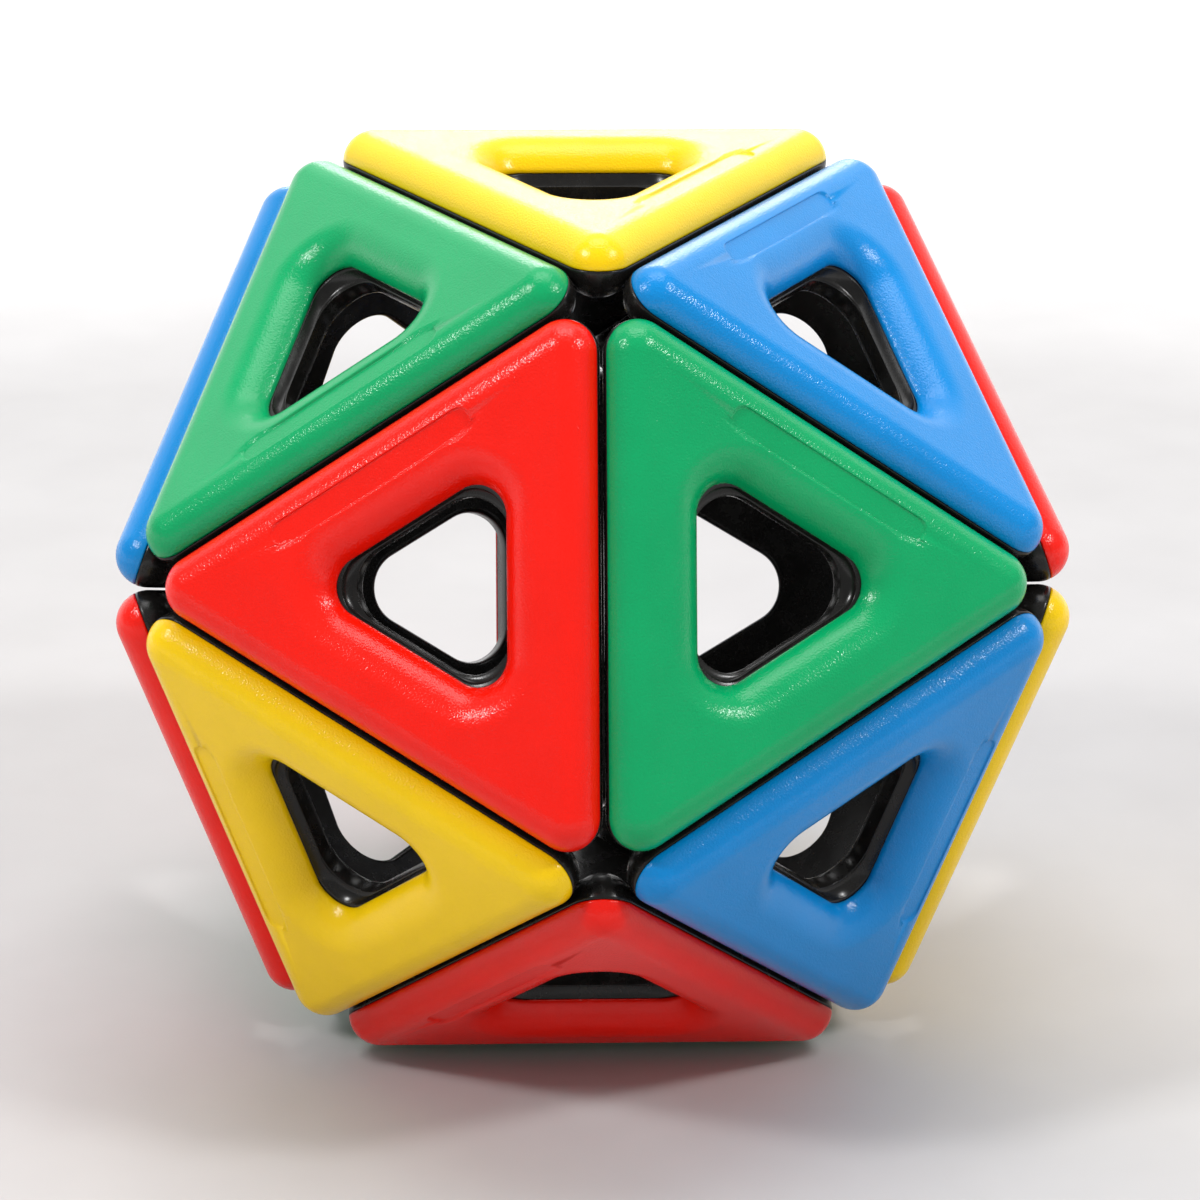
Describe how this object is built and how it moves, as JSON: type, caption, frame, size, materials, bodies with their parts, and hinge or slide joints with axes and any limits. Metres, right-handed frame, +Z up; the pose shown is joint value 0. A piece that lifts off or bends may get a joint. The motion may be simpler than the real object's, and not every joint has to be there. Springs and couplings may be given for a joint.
{
  "type": "magnetic triangle tile ball",
  "caption": "Hollow icosahedron ball of magnetic triangle tiles, each a coloured cover on a black base with rod magnets, that fold about their shared edges.",
  "frame": {"origin": "centre of the ball's footprint on the surface that it stands on, below the centre of the bottom tile", "axes": "+Z up along the ball's three-fold axis, through the centres of the bottom and top tiles; -Y towards the front edge; +X to the right seen from the front"},
  "size_m": [0.1266, 0.1394, 0.122],
  "materials": {
    "cover_red": "satin moulded",
    "cover_green": "satin moulded",
    "cover_blue": "satin moulded",
    "cover_yellow": "satin moulded",
    "base_black": "gloss moulded",
    "magnet_nickel": "bright nickel plate"
  },
  "bodies": {
    "bottom": {"bottom_cover": "cover_green", "bottom_base": "base_black", "bottom_magnets": "magnet_nickel"},
    "skirt_front": {"skirt_front_cover": "cover_red", "skirt_front_base": "base_black", "skirt_front_magnets": "magnet_nickel"},
    "skirt_left": {"skirt_left_cover": "cover_green", "skirt_left_base": "base_black", "skirt_left_magnets": "magnet_nickel"},
    "skirt_right": {"skirt_right_cover": "cover_yellow", "skirt_right_base": "base_black", "skirt_right_magnets": "magnet_nickel"},
    "lower_front_left": {"lower_front_left_cover": "cover_yellow", "lower_front_left_base": "base_black", "lower_front_left_magnets": "magnet_nickel"},
    "lower_front_right": {"lower_front_right_cover": "cover_blue", "lower_front_right_base": "base_black", "lower_front_right_magnets": "magnet_nickel"},
    "lower_left": {"lower_left_cover": "cover_red", "lower_left_base": "base_black", "lower_left_magnets": "magnet_nickel"},
    "lower_right": {"lower_right_cover": "cover_yellow", "lower_right_base": "base_black", "lower_right_magnets": "magnet_nickel"},
    "lower_back_left": {"lower_back_left_cover": "cover_red", "lower_back_left_base": "base_black", "lower_back_left_magnets": "magnet_nickel"},
    "lower_back_right": {"lower_back_right_cover": "cover_blue", "lower_back_right_base": "base_black", "lower_back_right_magnets": "magnet_nickel"},
    "front_left": {"front_left_cover": "cover_red", "front_left_base": "base_black", "front_left_magnets": "magnet_nickel"},
    "front_right": {"front_right_cover": "cover_green", "front_right_base": "base_black", "front_right_magnets": "magnet_nickel"},
    "upper_left": {"upper_left_cover": "cover_blue", "upper_left_base": "base_black", "upper_left_magnets": "magnet_nickel"},
    "upper_right": {"upper_right_cover": "cover_red", "upper_right_base": "base_black", "upper_right_magnets": "magnet_nickel"},
    "upper_back_left": {"upper_back_left_cover": "cover_yellow", "upper_back_left_base": "base_black", "upper_back_left_magnets": "magnet_nickel"},
    "upper_back_right": {"upper_back_right_cover": "cover_blue", "upper_back_right_base": "base_black", "upper_back_right_magnets": "magnet_nickel"},
    "collar_left": {"collar_left_cover": "cover_green", "collar_left_base": "base_black", "collar_left_magnets": "magnet_nickel"},
    "collar_right": {"collar_right_cover": "cover_blue", "collar_right_base": "base_black", "collar_right_magnets": "magnet_nickel"},
    "collar_back": {"collar_back_cover": "cover_green", "collar_back_base": "base_black", "collar_back_magnets": "magnet_nickel"},
    "top": {"top_cover": "cover_yellow", "top_base": "base_black", "top_magnets": "magnet_nickel"}
  },
  "joints": [
    {"name": "skirt_front_fold", "type": "hinge", "parent": "bottom", "child": "skirt_front", "pos_m": [0, -0.02165, 0.0043], "axis": [1, 0, 0], "range_deg": [0, 41.81]},
    {"name": "skirt_left_fold", "type": "hinge", "parent": "bottom", "child": "skirt_left", "pos_m": [-0.01875, 0.01082, 0.0043], "axis": [-0.5, -0.866, 0], "range_deg": [0, 41.81]},
    {"name": "skirt_right_fold", "type": "hinge", "parent": "bottom", "child": "skirt_right", "pos_m": [0.01875, 0.01082, 0.0043], "axis": [-0.5, 0.866, 0], "range_deg": [0, 41.81]},
    {"name": "lower_front_left_fold", "type": "hinge", "parent": "skirt_front", "child": "lower_front_left", "pos_m": [-0.01875, -0.04586, 0.02595], "axis": [0.5, -0.6455, 0.5774], "range_deg": [0, 41.81]},
    {"name": "lower_front_right_fold", "type": "hinge", "parent": "skirt_front", "child": "lower_front_right", "pos_m": [0.01875, -0.04586, 0.02595], "axis": [0.5, 0.6455, -0.5774], "range_deg": [0, 41.81]},
    {"name": "lower_left_fold", "type": "hinge", "parent": "skirt_left", "child": "lower_left", "pos_m": [-0.04909, 0.00669, 0.02595], "axis": [0.309, -0.7558, -0.5774], "range_deg": [0, 41.81]},
    {"name": "lower_back_left_fold", "type": "hinge", "parent": "skirt_left", "child": "lower_back_left", "pos_m": [-0.03034, 0.03917, 0.02595], "axis": [-0.809, -0.1103, 0.5774], "range_deg": [0, 41.81]},
    {"name": "lower_right_fold", "type": "hinge", "parent": "skirt_right", "child": "lower_right", "pos_m": [0.04909, 0.00669, 0.02595], "axis": [0.309, 0.7558, 0.5774], "range_deg": [0, 41.81]},
    {"name": "lower_back_right_fold", "type": "hinge", "parent": "skirt_right", "child": "lower_back_right", "pos_m": [0.03034, 0.03917, 0.02595], "axis": [-0.809, 0.1103, -0.5774], "range_deg": [0, 41.81]},
    {"name": "front_left_fold", "type": "hinge", "parent": "lower_front_left", "child": "front_left", "pos_m": [-0.03034, -0.05255, 0.06098], "axis": [0.809, -0.4671, -0.3568], "range_deg": [0, 41.81]},
    {"name": "front_right_fold", "type": "hinge", "parent": "lower_front_right", "child": "front_right", "pos_m": [0.03034, -0.05255, 0.06098], "axis": [0.809, 0.4671, 0.3568], "range_deg": [0, 41.81]},
    {"name": "upper_left_fold", "type": "hinge", "parent": "lower_left", "child": "upper_left", "pos_m": [-0.06068, 0, 0.06098], "axis": [0, -0.9342, 0.3568], "range_deg": [0, 41.81]},
    {"name": "upper_back_left_fold", "type": "hinge", "parent": "lower_back_left", "child": "upper_back_left", "pos_m": [-0.03034, 0.05255, 0.06098], "axis": [-0.809, -0.4671, -0.3568], "range_deg": [0, 41.81]},
    {"name": "upper_right_fold", "type": "hinge", "parent": "lower_right", "child": "upper_right", "pos_m": [0.06068, 0, 0.06098], "axis": [0, 0.9342, -0.3568], "range_deg": [0, 41.81]},
    {"name": "upper_back_right_fold", "type": "hinge", "parent": "lower_back_right", "child": "upper_back_right", "pos_m": [0.03034, 0.05255, 0.06098], "axis": [-0.809, 0.4671, 0.3568], "range_deg": [0, 41.81]},
    {"name": "collar_left_fold", "type": "hinge", "parent": "front_left", "child": "collar_left", "pos_m": [-0.03034, -0.03917, 0.09601], "axis": [0.809, -0.1103, 0.5774], "range_deg": [0, 41.81]},
    {"name": "collar_right_fold", "type": "hinge", "parent": "front_right", "child": "collar_right", "pos_m": [0.03034, -0.03917, 0.09601], "axis": [0.809, 0.1103, -0.5774], "range_deg": [0, 41.81]},
    {"name": "collar_back_fold", "type": "hinge", "parent": "upper_back_left", "child": "collar_back", "pos_m": [-0.01875, 0.04586, 0.09601], "axis": [-0.5, -0.6455, 0.5774], "range_deg": [0, 41.81]},
    {"name": "top_fold", "type": "hinge", "parent": "collar_left", "child": "top", "pos_m": [-0.01875, -0.01082, 0.11766], "axis": [0.5, -0.866, 0], "range_deg": [0, 41.81]}
  ]
}
